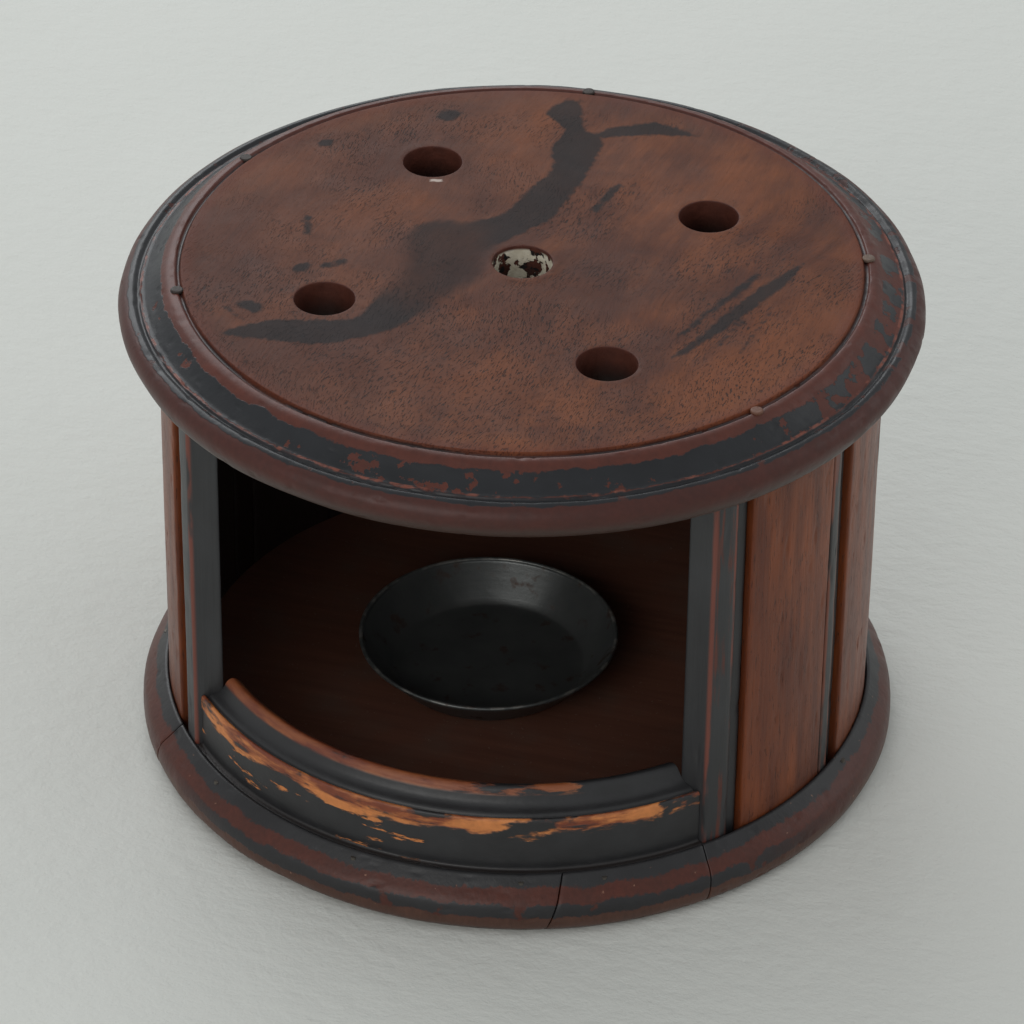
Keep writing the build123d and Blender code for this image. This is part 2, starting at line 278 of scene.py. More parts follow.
def upright(name, outline, node, material, seed, depth=0.25, nick=0.3):
    """Wall piece: a plan outline carried from the foot to the board, a little uneven."""
    loop = counter_clockwise(softened(outline, 2))
    normals = loop_normals(loop)
    outside = smoothstep(WALL_INNER + 1, WALL_INNER + 4, np.linalg.norm(loop, axis=1))
    levels = np.concatenate([np.arange(WALL_FOOT, UNDERSIDE, 2.2), [UNDERSIDE]])
    rows = []
    for level in levels:
        place = raised(loop, level)
        stretched = place * np.array([1, 1, 0.35])
        inset = wear(stretched, seed, depth, nick) * outside
        rows.append(raised(loop - normals * inset[:, None], level))
    faces = grid_faces(len(rows), len(loop), False)
    size = len(loop)
    faces.append(list(range(size)))
    faces.append([size * (len(rows) - 1) + k for k in range(size)])
    return make_piece(name, np.concatenate(rows), faces, node, [material])


# Stains of the top, as outlines

STAIN = [(-72, -64), (-58, -63), (-44, -61), (-34, -55), (-25, -46), (-15, -24), (-10, -12), (-11, 3),
         (-4, 17), (1, 26), (3, 41), (4, 55), (3, 75), (-5, 81), (-10, 98), (-17, 95), (-19, 87), (-10, 77),
         (-11, 67), (-7, 54), (-10, 41), (-13, 26), (-21, 17), (-32, 14), (-37, 5), (-32, -15), (-35, -33),
         (-38, -45), (-49, -49), (-62, -54)]
BRANCH = [(1, 76), (11, 81), (23, 85), (31, 87), (30, 92), (19, 93), (11, 88), (2, 82)]
LONG_STROKE = [(80, 25), (76, 19), (71, 8), (67, -3), (63, -14), (60, -25), (56, -36), (58, -36), (62, -27),
               (66, -19), (70, -9), (74, 2), (78, 13)]
SHORT_STROKE = [(69, 17), (65, 8), (61, -4), (57, -16), (54, -27), (57, -22), (61, -10), (65, 0), (68, 9)]
STROKES = [
    (0.4, [(70, -11), (67, -28)]),
    (0.4, [(77, -5), (74, -28)]),
    (1.2, [(15, 51), (12, 35)]),
    (0.4, [(-76, -50), (-69, -55)]),
    (3.0, [(-47, 75), (-46, 76)]),
    (2.0, [(-78, 47), (-77, 48)]),
    (1.1, [(-69, 5), (-66, -4)]),
    (2.0, [(-62, -24), (-61, -22)]),
    (1.5, [(-55, -20), (-51, -16)]),
    (2.6, [(-70, -47), (-67, -48)]),
    (1.5, [(-31, -9), (-30, -7)]),
]
FLECK = (0.8, [(-40, 36), (-37, 37)])


def line_distance(points, line, closed):
    """Distance of plan points from a line of short runs."""
    runs = list(zip(line, line[1:] + line[:1])) if closed else list(zip(line, line[1:]))
    nearest = np.full(len(points), 1e9)
    for a, b in runs:
        a, b = np.array(a), np.array(b)
        t = np.clip(((points - a) @ (b - a)) / max((b - a) @ (b - a), 1e-9), 0, 1)
        nearest = np.minimum(nearest, np.linalg.norm(points - a - t[:, None] * (b - a), axis=1))
    return nearest


def inside(points, outline):
    """True for plan points inside a closed outline."""
    found = np.zeros(len(points), bool)
    x, y = points[:, 0], points[:, 1]
    for (ax, ay), (bx, by) in zip(outline, outline[1:] + outline[:1]):
        if ay == by:
            continue
        crossing = ((ay > y) != (by > y)) & (x < (bx - ax) * (y - ay) / (by - ay) + ax)
        found ^= crossing
    return found


def stain_depth(points):
    """How far inside the stains each plan point lies, negative outside."""
    depth = np.full(len(points), -1e9)
    for outline in (STAIN, BRANCH, LONG_STROKE, SHORT_STROKE):
        smooth = curve(outline, 2.0, closed=True)
        distance = line_distance(points, smooth, True)
        depth = np.maximum(depth, np.where(inside(points, smooth), distance, -distance))
    for half_width, line in STROKES:
        depth = np.maximum(depth, half_width - line_distance(points, line, False))
    return depth


def add_field(piece, name, values):
    """Stores one number at each vertex for the material to read."""
    field = piece.data.attributes.new(name, "FLOAT", "POINT")
    field.data.foreach_set("value", np.asarray(values, np.float32))


# Materials

def srgb(red, green, blue):
    """Linear colour of an sRGB one in bytes."""
    return tuple((v / 12.92 if v <= 0.04045 else ((v + 0.055) / 1.055) ** 2.4)
                 for v in (red / 255, green / 255, blue / 255)) + (1.0,)


class Paint:
    """Builds one material; every method adds a node and gives its output."""

    def __init__(self, name):
        self.material = bpy.data.materials.new(name)
        self.material.use_nodes = True
        self.tree = self.material.node_tree
        self.tree.nodes.clear()
        self.shader = self.tree.nodes.new("ShaderNodeBsdfPrincipled")
        output = self.tree.nodes.new("ShaderNodeOutputMaterial")
        self.tree.links.new(self.shader.outputs[0], output.inputs["Surface"])
        coordinates = self.tree.nodes.new("ShaderNodeTexCoord").outputs["Object"]
        self.place = self.vector("SCALE", coordinates, scale=1 / MM)
        split = self.tree.nodes.new("ShaderNodeSeparateXYZ")
        self.feed(split.inputs[0], self.place)
        self.x, self.y, self.z = split.outputs
        self.r = self.math("SQRT", self.math("ADD", self.math("MULTIPLY", self.x, self.x),
                                             self.math("MULTIPLY", self.y, self.y)))
        turn = self.math("ARCTAN2", self.x, self.math("MULTIPLY", self.y, -1.0))
        self.bearing = self.math("DEGREES", turn)

    def feed(self, socket, value):
        if isinstance(value, bpy.types.NodeSocket):
            self.tree.links.new(value, socket)
        else:
            socket.default_value = value

    def math(self, operation, *values, clamp=False):
        node = self.tree.nodes.new("ShaderNodeMath")
        node.operation = operation
        node.use_clamp = clamp
        for socket, value in zip(node.inputs, values):
            self.feed(socket, value)
        return node.outputs[0]

    def vector(self, operation, *values, scale=None):
        node = self.tree.nodes.new("ShaderNodeVectorMath")
        node.operation = operation
        for socket, value in zip(node.inputs, values):
            self.feed(socket, value)
        if scale is not None:
            node.inputs["Scale"].default_value = scale
        return node.outputs["Value" if operation == "DOT_PRODUCT" else "Vector"]

    def join(self, x, y, z):
        node = self.tree.nodes.new("ShaderNodeCombineXYZ")
        for socket, value in zip(node.inputs, (x, y, z)):
            self.feed(socket, value)
        return node.outputs[0]

    def noise(self, size, detail=3.0, stretch=(1, 1, 1), at=None, shift=0.0, rough=0.55, bend=0.0):
        """Noise from 0 to 1 with features about `size` millimetres wide, longer by each stretch."""
        place = self.place if at is None else at
        scaled = self.vector("MULTIPLY", place, [1 / (size * s) for s in stretch])
        node = self.tree.nodes.new("ShaderNodeTexNoise")
        self.feed(node.inputs["Vector"], self.vector("ADD", scaled, (shift, shift * 0.7, -shift)))
        node.inputs["Scale"].default_value = 1.0
        node.inputs["Detail"].default_value = detail
        node.inputs["Roughness"].default_value = rough
        node.inputs["Distortion"].default_value = bend
        return node.outputs[0]

    def step(self, value, low, high):
        """Smooth 0 to 1 as value goes from low to high."""
        node = self.tree.nodes.new("ShaderNodeMapRange")
        node.interpolation_type = "SMOOTHSTEP"
        for socket, v in zip(node.inputs, (value, low, high, 0.0, 1.0)):
            self.feed(socket, v)
        return node.outputs[0]

    def band(self, value, low, high, soft):
        """1 where value is between low and high, with soft edges."""
        rise = self.step(value, low - soft, low + soft)
        fall = self.step(value, high + soft, high - soft)
        return self.math("MULTIPLY", rise, fall)

    def fold(self, operation, values):
        result = values[0]
        for value in values[1:]:
            result = self.math(operation, result, value)
        return result

    def times(self, *values):
        return self.fold("MULTIPLY", values)

    def plus(self, *values):
        return self.fold("ADD", values)

    def most(self, *values):
        return self.fold("MAXIMUM", values)

    def less(self, value):
        """One minus the value."""
        return self.math("SUBTRACT", 1.0, value)

    def spread(self, value, low, high):
        """Value from 0 to 1 carried to low to high."""
        return self.math("MULTIPLY_ADD", value, high - low, low)

    def varied(self, size, shift, low, high):
        """Number drifting from low to high over a size."""
        return self.spread(self.noise(size, 4.0, shift=shift), low, high)

    def mix(self, factor, first, second):
        node = self.tree.nodes.new("ShaderNodeMix")
        node.data_type = "RGBA"
        self.feed(node.inputs["Factor"], factor)
        self.feed(node.inputs[6], first)
        self.feed(node.inputs[7], second)
        return node.outputs[2]

    def shade(self, colour, factor):
        """Colour times a grey factor."""
        return self.vector("MULTIPLY", colour, self.join(factor, factor, factor))

    def field(self, name):
        node = self.tree.nodes.new("ShaderNodeAttribute")
        node.attribute_name = name
        return node.outputs["Fac"]

    def finish(self, colour, roughness, relief, specular=0.5, **constants):
        """Links colour, roughness and relief in millimetres, and gives the material."""
        bump = self.tree.nodes.new("ShaderNodeBump")
        bump.inputs["Strength"].default_value = 1.0
        bump.inputs["Distance"].default_value = MM
        self.feed(bump.inputs["Height"], relief)
        self.tree.links.new(bump.outputs[0], self.shader.inputs["Normal"])
        self.feed(self.shader.inputs["Base Color"], colour)
        self.feed(self.shader.inputs["Roughness"], roughness)
        self.shader.inputs["Specular IOR Level"].default_value = specular
        for socket, value in constants.items():
            self.shader.inputs[socket.replace("_", " ")].default_value = value
        return self.material


GRAIN = (0.08, 0.997, 0.0)
ACROSS = (0.997, -0.08, 0.0)


def top_grain(paint):
    """Coordinates along and across the grain of the top, in millimetres, gently waved."""
    sway = paint.spread(paint.noise(70, 1.0), -11.0, 11.0)
    across = paint.plus(paint.vector("DOT_PRODUCT", paint.place, ACROSS), sway)
    along = paint.vector("DOT_PRODUCT", paint.place, GRAIN)
    return paint.join(across, along, paint.z)


def quirk_shade_line(paint):
    """Painted shade in the groove round the disc: a fine dark line, broken in places."""
    kept = paint.spread(paint.step(paint.noise(12, 4.0, shift=61.0), 0.35, 0.55), 0.35, 1.0)
    return paint.times(paint.band(paint.r, 101.3, 102.4, 0.2), kept)


def disc_wood():
    """Mahogany of the disc with its figure, pores, dark stains and small bruises."""
    p = Paint("disc_mahogany")
    grain = top_grain(p)
    clouds = p.noise(38, 4.0, at=grain, stretch=(1, 1.3, 1), bend=0.5)
    streaks = p.noise(1.3, 4.0, at=grain, stretch=(1, 11, 1), shift=3.1)
    broad = p.noise(7, 4.0, at=grain, stretch=(1, 3.5, 1), shift=7.7)
    wood = p.mix(p.step(clouds, 0.36, 0.64), srgb(82, 43, 28), srgb(106, 59, 36))
    orange = p.step(p.plus(p.times(p.x, 0.0016), p.times(broad, 0.6), p.times(clouds, 0.5)), 0.52, 0.78)
    wood = p.mix(p.times(orange, 0.45), wood, srgb(134, 74, 37))
    dark = p.step(p.noise(44, 4.0, shift=12.0, bend=0.4), 0.50, 0.68)
    wood = p.mix(p.times(dark, 0.5), wood, srgb(68, 40, 33))
    wood = p.shade(wood, p.spread(streaks, 0.68, 1.30))
    pores = p.step(p.noise(0.42, 2.0, at=grain, stretch=(1, 6, 1), shift=20.0, rough=0.7), 0.56, 0.62)
    patch = p.step(p.plus(p.noise(24, 2.0, shift=31.0), p.times(p.y, -0.0016)), 0.38, 0.62)
    pores = p.times(pores, p.spread(patch, 0.15, 1.0))
    wood = p.mix(p.times(pores, 0.8), wood, srgb(30, 17, 14))
    ragged = p.plus(p.spread(p.noise(3.0, 5.0, shift=9.0), -1.5, 1.5),
                    p.spread(p.noise(1.6, 4.0, at=grain, stretch=(1, 5, 1), shift=5.0), -0.9, 0.9))
    smear_x = p.times(p.plus(p.x, 24.0), 1 / 17)
    smear_y = p.times(p.plus(p.y, 10.0), 1 / 26)
    smear_r = p.math("SQRT", p.plus(p.times(smear_x, smear_x), p.times(smear_y, smear_y)))
    faint = p.step(smear_r, 1.25, 0.6)
    depth = p.plus(p.field("stain"), ragged)
    soft = p.spread(faint, 0.8, 4.5)
    stain = p.step(depth, p.times(soft, -1.0), soft)
    body = p.times(p.spread(p.noise(15, 4.0, shift=14.0), 0.80, 1.0), p.spread(faint, 1.0, 0.7))
    wood = p.mix(p.math("MULTIPLY", stain, body, clamp=True), wood, srgb(43, 40, 41))
    bruises = p.step(p.noise(4.0, 5.0, shift=40.0), 0.70, 0.75)
    wood = p.mix(p.times(bruises, 0.4), wood, srgb(52, 32, 28))
    wood = p.mix(p.step(p.field("fleck"), -0.3, 0.3), wood, srgb(190, 175, 165))
    edge = p.step(p.r, 95.0, 101.0)
    wood = p.mix(p.times(edge, p.spread(p.noise(8, 4.0, shift=2.0), 0.2, 0.8)), wood, srgb(98, 48, 33))
    # Painted shade: a fine dark line in the groove round the disc.
    wood = p.mix(p.times(quirk_shade_line(p), 0.8), wood, srgb(28, 18, 17))
    rough = p.plus(p.varied(12, 8.0, 0.44, 0.62), p.times(stain, 0.12))
    relief = p.plus(p.times(streaks, 0.05), p.times(pores, -0.12), p.times(stain, 0.02),
                    p.times(p.noise(1.2, 3.0, shift=6.0), 0.03), p.times(bruises, -0.04))
    return p.finish(wood, rough, relief, 0.15)


def moulding_wood():
    """Edge of the top: red-brown shoulder, chipped black band, bright fillet edge, worn nosing with a
    painted reflection of the floor on its underside.
    """
    p = Paint("moulding_ebonised")
    fine = p.noise(2.2, 5.0, shift=1.3)
    coarse = p.noise(11, 5.0, shift=5.2)
    jag = p.plus(p.spread(fine, -0.8, 0.8), p.spread(coarse, -1.6, 1.6))
    right = p.times(p.step(p.bearing, 44.0, 74.0), p.step(p.bearing, 178.0, 150.0))
    middle = p.band(p.bearing, -14.0, 20.0, 7.0)
    left = p.step(p.bearing, -20.0, -60.0)
    loss = p.plus(p.times(right, 0.16), p.times(middle, 0.06), p.times(left, 0.01))
    chips = p.step(p.plus(p.noise(7.0, 6.0, shift=8.8, rough=0.6), loss), 0.645, 0.665)
    red = p.mix(coarse, srgb(98, 45, 31), srgb(72, 36, 28))
    red = p.shade(red, p.spread(fine, 0.65, 1.25))
    black = p.mix(p.noise(14, 4.0, shift=2.0), srgb(21, 21, 24), srgb(40, 42, 46))
    bead = p.mix(coarse, srgb(82, 36, 27), srgb(56, 31, 26))
    bead = p.shade(bead, p.spread(p.noise(1.6, 4.0, shift=19.0), 0.7, 1.25))
    # Painted reflection of the floor: the underside of the nosing turns grey-brown.
    low = p.step(p.plus(p.z, jag), 150.0, 146.6)
    bead = p.mix(p.times(low, 0.8), bead, srgb(58, 44, 37))
    colour = p.mix(p.step(p.r, 113.2, 113.6), red, bead)
    band = p.times(p.band(p.plus(p.r, jag), 107.0, 113.0, 0.2), p.less(chips))
    upper = p.step(p.z, NOSING_CENTRE, NOSING_CENTRE + 1.0)
    rolled = p.step(p.plus(p.noise(6.0, 5.0, shift=33.0), p.times(loss, 0.5)), 0.62, 0.66)
    roll = p.times(p.band(p.plus(p.r, p.times(jag, 0.7)), 113.4, 117.0, 0.2), upper, p.less(rolled))
    groove = p.times(p.band(p.r, 113.25, 114.0, 0.15), upper)
    # The painted shade of the groove round the disc joins the black bands here.
    dark = p.most(band, roll, p.times(quirk_shade_line(p), 0.8), p.times(groove, 0.9))
    colour = p.mix(dark, colour, black)
    rubbed = p.step(p.noise(4.5, 5.0, shift=50.0), 0.48, 0.62)
    bright = p.times(p.band(p.r, 112.5, 113.4, 0.15), rubbed, upper)
    colour = p.mix(p.times(bright, 0.65), colour, srgb(140, 78, 60))
    rough = p.plus(p.varied(7, 11.0, 0.36, 0.52), p.times(dark, -0.06), p.times(chips, 0.10))
    relief = p.plus(p.times(dark, 0.07), p.times(fine, 0.08), p.times(p.noise(0.9, 2.0), 0.02))
    return p.finish(colour, rough, relief, 0.38)


def hole_wood(residue):
    """Bored wall of a warm-air hole, with painted shade deepening down the bore; the centre one holds a
    pale, flaking residue.
    """
    p = Paint("hole_wall_residue" if residue else "hole_wall")
    mottle = p.noise(3.0, 5.0)
    colour = p.mix(mottle, srgb(62, 32, 25), srgb(96, 50, 37))
    # Painted shade: the bore darkens with depth below the top.
    colour = p.mix(p.step(p.z, TOP - 3.0, TOP - 14.0), colour, srgb(30, 20, 17))
    relief = p.times(p.noise(1.6, 4.0, shift=1.0), 0.25)
    if residue:
        pale = p.step(p.noise(3.4, 4.0, shift=3.0), 0.47, 0.51)
        cream = p.mix(p.noise(2.0, 3.0, shift=8.0), srgb(236, 230, 214), srgb(176, 164, 140))
        depth = p.times(p.step(p.z, TOP - 0.8, TOP - 1.8), p.step(p.z, TOP - 16.0, TOP - 12.0))
        black = p.times(p.step(p.noise(3.5, 4.0, shift=15.0), 0.5, 0.54), depth)
        colour = p.mix(black, colour, srgb(22, 20, 20))
        colour = p.mix(p.times(pale, depth), colour, cream)
        relief = p.plus(relief, p.times(pale, 0.3))
    return p.finish(colour, p.spread(mottle, 0.5, 0.75), relief, 0.3)


def panel_wood(seed):
    """Curved mahogany panel: fine upright grain, short pores, sooty on the inside, with painted shade near
    the base ring and under the top board.
    """
    p = Paint(f"panel_mahogany_{seed}")
    grain = p.noise(0.8, 4.0, stretch=(1, 1, 30), shift=seed * 5.3)
    broad = p.noise(6.0, 3.0, stretch=(1, 1, 9), shift=seed * 2.1)
    clouds = p.noise(34, 3.0, stretch=(1, 1, 1.7), shift=seed * 3.7)
    wood = p.mix(p.step(broad, 0.3, 0.7), srgb(90, 42, 22), srgb(126, 64, 31))
    wood = p.mix(p.times(p.step(clouds, 0.42, 0.68), 0.5), wood, srgb(92, 48, 33))
    wood = p.shade(wood, p.spread(grain, 0.68, 1.3))
    pores = p.step(p.noise(0.6, 2.0, stretch=(1, 1, 9), shift=seed + 9.0, rough=0.7), 0.61, 0.68)
    wood = p.mix(p.times(pores, 0.6), wood, srgb(52, 26, 18))
    # Painted shade near the foot: darkening that stands in for the dark reflection and shade of the base
    # ring.
    edge = p.step(p.plus(p.z, p.spread(clouds, -10.0, 10.0)), 26.0, 14.0)
    wood = p.mix(p.times(edge, 0.45), wood, srgb(66, 40, 32))
    # Painted shade under the overhanging top board.
    under = p.step(p.plus(p.z, p.spread(broad, -8.0, 8.0)), 134.0, 146.0)
    wood = p.mix(p.times(under, 0.4), wood, srgb(60, 36, 28))
    soot = p.step(p.r, WALL_INNER + 1.2, WALL_INNER + 0.6)
    wood = p.mix(soot, wood, srgb(34, 22, 18))
    rough = p.plus(p.varied(10, 4.0, 0.30, 0.46), p.times(soot, 0.3))
    relief = p.plus(p.times(grain, 0.09), p.times(pores, -0.10), p.times(p.noise(7, 3.0), 0.15))
    return p.finish(wood, rough, relief, 0.32)


def stile_wood(name, first, last, worn):
    """Ebonised strip with a rubbed edge; worn is how much brown shows through the strip."""
    p = Paint(name)
    streak = p.noise(1.3, 5.0, stretch=(1, 1, 22), shift=2.0)
    patches = p.noise(5.0, 5.0, stretch=(1, 1, 5), shift=6.0)
    black = p.mix(p.noise(11, 4.0, stretch=(1, 1, 2), shift=3.0), srgb(30, 29, 30), srgb(50, 48, 48))
    brown = p.shade(p.mix(patches, srgb(112, 54, 36), srgb(92, 52, 42)), p.spread(streak, 0.6, 1.35))
    middle = (first + last) / 2
    half = abs(last - first) / 2
    across = p.math("ABSOLUTE", p.math("SUBTRACT", p.bearing, middle))
    strip = p.times(p.step(across, half, half - 0.5), p.step(p.r, GROOVE_RADIUS + 0.6, WALL_RADIUS - 0.8))
    ragged = p.plus(p.times(patches, 0.7), p.times(streak, 0.35))
    rubbed = p.times(strip, p.step(ragged, 0.60 - worn, 0.66 - worn))
    arris = p.times(p.band(across, half - 0.55, half + 0.25, 0.25),
                    p.step(p.r, GROOVE_RADIUS + 1.0, WALL_RADIUS - 0.4), p.step(patches, 0.36, 0.52))
    colour = p.mix(rubbed, black, brown)
    colour = p.mix(p.times(arris, 0.7), colour, srgb(132, 72, 50))
    soot = p.step(p.r, WALL_INNER + 1.4, WALL_INNER + 0.7)
    colour = p.mix(soot, colour, srgb(28, 20, 18))
    rough = p.plus(p.varied(8, 5.0, 0.34, 0.50), p.times(rubbed, 0.05))
    relief = p.plus(p.times(streak, 0.12), p.times(rubbed, -0.05), p.times(p.noise(1.2, 3.0), 0.03))
    return p.finish(colour, rough, relief, 0.5)


def post_wood(name, side):
    """Front post: flat black reveal with red-brown arrises and a strip worn in streaks."""
    p = Paint(name)
    streak = p.noise(1.2, 5.0, stretch=(1, 1, 24), shift=2.0 + side)
    patches = p.noise(5.5, 5.0, stretch=(1, 1, 6), shift=6.0 + side)
    black = p.mix(p.noise(12, 4.0, stretch=(1, 1, 2), shift=3.0), srgb(34, 33, 34), srgb(56, 57, 59))
    brown = p.shade(p.mix(patches, srgb(100, 46, 31), srgb(70, 38, 31)), p.spread(streak, 0.55, 1.35))
    turn = p.times(p.bearing, float(side))
    start = OPENING_HALF_ANGLE
    strip = p.times(p.band(turn, start + 0.25, start + POST_STRIP - 0.5, 0.2),
                    p.step(p.r, WALL_RADIUS - 1.4, WALL_RADIUS - 0.7))
    worn = 0.06 if side > 0 else -0.01
    ragged = p.plus(p.times(patches, 0.65), p.times(streak, 0.4))
    rubbed = p.times(strip, p.step(ragged, 0.60 - worn, 0.68 - worn))
    corner = p.times(p.band(turn, start - 0.35, start + 0.35, 0.2),
                     p.step(p.r, WALL_RADIUS - 1.6, WALL_RADIUS - 0.6))
    inner = p.times(p.step(turn, start - 1.3, start - 0.6),
                    p.band(p.r, WALL_INNER - 0.2, WALL_INNER + 0.8, 0.25))
    edge = p.times(p.most(corner, inner), p.step(patches, 0.38, 0.50))
    far = p.times(p.band(turn, start + POST_STRIP - 0.9, start + POST_STRIP - 0.2, 0.2),
                  p.step(patches, 0.42, 0.54), p.step(p.r, GROOVE_RADIUS + 1, WALL_RADIUS - 0.5))
    colour = p.mix(rubbed, black, brown)
    colour = p.mix(p.times(p.most(edge, far), 0.75), colour, srgb(124, 62, 46))
    rough = p.plus(p.varied(8, 5.0, 0.34, 0.5), p.times(rubbed, 0.06))
    relief = p.plus(p.times(streak, 0.12), p.times(rubbed, -0.06), p.times(p.noise(1.2, 3.0), 0.03))
    return p.finish(colour, rough, relief, 0.5)


def sill_wood():
    """Ebonised sill rubbed to orange wood along its face edge and crest, most towards the left, with
    painted shade at the foot of its face above the ring.
    """
    p = Paint("sill_ebonised")
    fine = p.noise(2.4, 5.0, shift=1.0)
    turn = p.join(p.times(p.bearing, 1.75), p.z, p.r)
    lengthways = p.noise(5.0, 6.0, at=turn, stretch=(4.0, 1, 1), shift=4.0, rough=0.62)
    patches = p.noise(7.0, 5.0, at=turn, stretch=(2.2, 1, 1), shift=11.0)
    black = p.mix(p.noise(10, 4.0, shift=3.0), srgb(26, 25, 26), srgb(50, 50, 52))
    orange = p.mix(p.step(lengthways, 0.42, 0.62), srgb(124, 60, 35), srgb(208, 130, 72))
    orange = p.shade(orange, p.spread(fine, 0.65, 1.25))
    left = p.step(p.bearing, 34.0, -20.0)
    lift = p.spread(left, -0.04, 0.10)
    top_edge = p.step(p.plus(p.z, p.spread(lengthways, -8.0, 8.0)), 30.2, 32.0)
    face = p.times(p.step(p.r, 104.6, 105.2), top_edge, p.step(p.plus(patches, lift), 0.42, 0.50))
    lower = p.times(p.step(p.r, 105.6, 106.2), p.step(p.plus(lengthways, p.times(lift, 0.7)), 0.665, 0.70))
    crest = p.times(p.step(p.r, 100.6, 99.6), p.step(p.z, 39.3, 40.6))
    black_end = p.times(p.step(p.bearing, 20.0, 44.0), -0.3)
    crest = p.times(crest, p.step(p.plus(lengthways, p.times(lift, 1.2), black_end), 0.44, 0.56))
    back = p.times(p.step(p.r, 97.0, 96.2), 0.9)
    worn = p.most(face, lower, p.times(crest, p.less(back)))
    inner = p.times(p.band(p.z, 40.2, 40.9, 0.3), back, p.step(patches, 0.40, 0.55))
    colour = p.mix(worn, black, orange)
    colour = p.mix(p.times(crest, p.less(back), 0.75), colour, srgb(112, 54, 34))
    colour = p.mix(p.times(inner, 0.7), colour, srgb(120, 60, 42))
    # Painted shade: the foot of the sill face darkens where it meets the base ring.
    ring_contact_shade = p.step(p.z, 18.2, 17.2)
    colour = p.mix(ring_contact_shade, colour, srgb(30, 24, 23))
    rough = p.plus(p.varied(8, 5.0, 0.32, 0.48), p.times(worn, 0.10))
    relief = p.plus(p.times(worn, -0.16), p.times(fine, 0.10), p.times(p.noise(1.0, 3.0, shift=2.0), 0.03))
    return p.finish(colour, rough, relief, 0.5)


def ring_wood():
    """Base ring in worn bands: black, red-brown, black, grey-brown, browner to the left, with a painted
    contact shadow along its bottom.
    """
    p = Paint("ring_ebonised")
    fine = p.noise(1.5, 5.0, shift=2.0)
    coarse = p.noise(9.0, 5.0, shift=7.0)
    nicks = p.noise(1.1, 4.0, stretch=(1, 1, 4), shift=4.0)
    jag = p.plus(p.spread(fine, -0.9, 0.9), p.spread(coarse, -1.8, 1.8), p.spread(nicks, -0.7, 0.7))
    level = p.plus(p.z, jag)
    red = p.shade(p.mix(coarse, srgb(92, 42, 29), srgb(66, 37, 30)), p.spread(fine, 0.62, 1.3))
    black = p.mix(p.noise(12, 4.0, shift=9.0), srgb(30, 28, 29), srgb(52, 52, 54))
    foot = p.shade(p.mix(coarse, srgb(92, 60, 48), srgb(70, 47, 38)), p.spread(nicks, 0.6, 1.25))
    colour = p.mix(p.step(level, 14.9, 14.3), black, red)
    belly = p.band(level, 7.0, 11.0, 0.35)
    aside = p.most(p.step(p.bearing, -30.0, -50.0), p.step(p.bearing, 52.0, 76.0))
    belly = p.times(belly, p.less(p.times(aside, 0.85)), p.step(coarse, 0.66, 0.60))
    colour = p.mix(belly, colour, black)
    colour = p.mix(p.step(level, 7.2, 6.6), colour, foot)
    # Painted contact shadow: the lowest two millimetres darken towards the floor.
    edge = p.step(p.z, 2.2, 0.4)
    colour = p.mix(p.times(edge, 0.7), colour, srgb(46, 36, 32))
    cracks = p.times(p.step(p.noise(2.8, 5.0, shift=30.0), 0.70, 0.74), 0.7)
    colour = p.mix(cracks, colour, srgb(150, 112, 92))
    rough = p.plus(p.varied(7, 6.0, 0.30, 0.50), p.times(edge, 0.1))
    relief = p.plus(p.times(belly, 0.05), p.times(nicks, 0.09), p.times(fine, 0.06))
    return p.finish(colour, rough, relief, 0.36)


def floor_board_wood():
    """Chamber floor: dark dusty wood with faint grain and grey ash dust."""
    p = Paint("chamber_floor_wood")
    grain = p.noise(3.0, 4.0, stretch=(12, 1, 1), shift=2.0)
    dust = p.noise(18, 5.0, shift=5.0)
    colour = p.mix(grain, srgb(78, 48, 38), srgb(112, 72, 56))
    colour = p.mix(p.times(p.step(dust, 0.45, 0.75), 0.5), colour, srgb(92, 74, 64))
    specks = p.step(p.noise(1.2, 3.0, shift=9.0), 0.68, 0.72)
    colour = p.mix(p.times(specks, 0.5), colour, srgb(120, 100, 86))
    relief = p.plus(p.times(grain, 0.15), p.times(specks, 0.1))
    return p.finish(colour, p.spread(dust, 0.55, 0.8), relief, 0.3)


def pan_iron():
    """Blackened sheet iron with faint turned marks, rust bloom and a rubbed lip."""
    p = Paint("pan_iron")
    x = p.plus(p.x, -PAN_CENTRE[0])
    y = p.plus(p.y, -PAN_CENTRE[1])
    r = p.math("SQRT", p.plus(p.times(x, x), p.times(y, y)))
    marks = p.noise(1.4, 3.0, at=p.join(r, p.z, 0.0))
    bloom = p.noise(13, 5.0, shift=2.0)
    colour = p.mix(bloom, srgb(70, 73, 73), srgb(104, 106, 105))
    rust = p.times(p.step(p.noise(7, 5.0, shift=21.0), 0.58, 0.70), 0.7)
    colour = p.mix(rust, colour, srgb(74, 50, 38))
    lip = p.times(p.step(p.plus(p.z, p.spread(bloom, -0.4, 0.4)), 25.7, 26.3), p.step(r, 38.6, 39.4))
    rubbed = p.times(lip, p.step(p.noise(5, 4.0, shift=8.0), 0.42, 0.62), 0.7)
    colour = p.mix(rubbed, colour, srgb(150, 148, 142))
    rough = p.plus(p.varied(8, 3.0, 0.28, 0.46), p.times(rust, 0.3))
    relief = p.plus(p.times(marks, 0.03), p.times(bloom, 0.15), p.times(p.noise(1.0, 3.0), 0.02))
    return p.finish(colour, rough, relief, 0.5, Metallic=0.6)


def nail_metal(name, dark, light, metallic):
    """Hammered nail head or pin with uneven tarnish."""
    p = Paint(name)
    tarnish = p.noise(1.6, 4.0)
    colour = p.mix(tarnish, srgb(*dark), srgb(*light))
    relief = p.plus(p.times(p.noise(1.1, 3.0, shift=3.0), 0.18), p.times(p.noise(0.5, 2.0), 0.05))
    return p.finish(colour, p.spread(tarnish, 0.4, 0.7), relief, 0.5, Metallic=metallic)


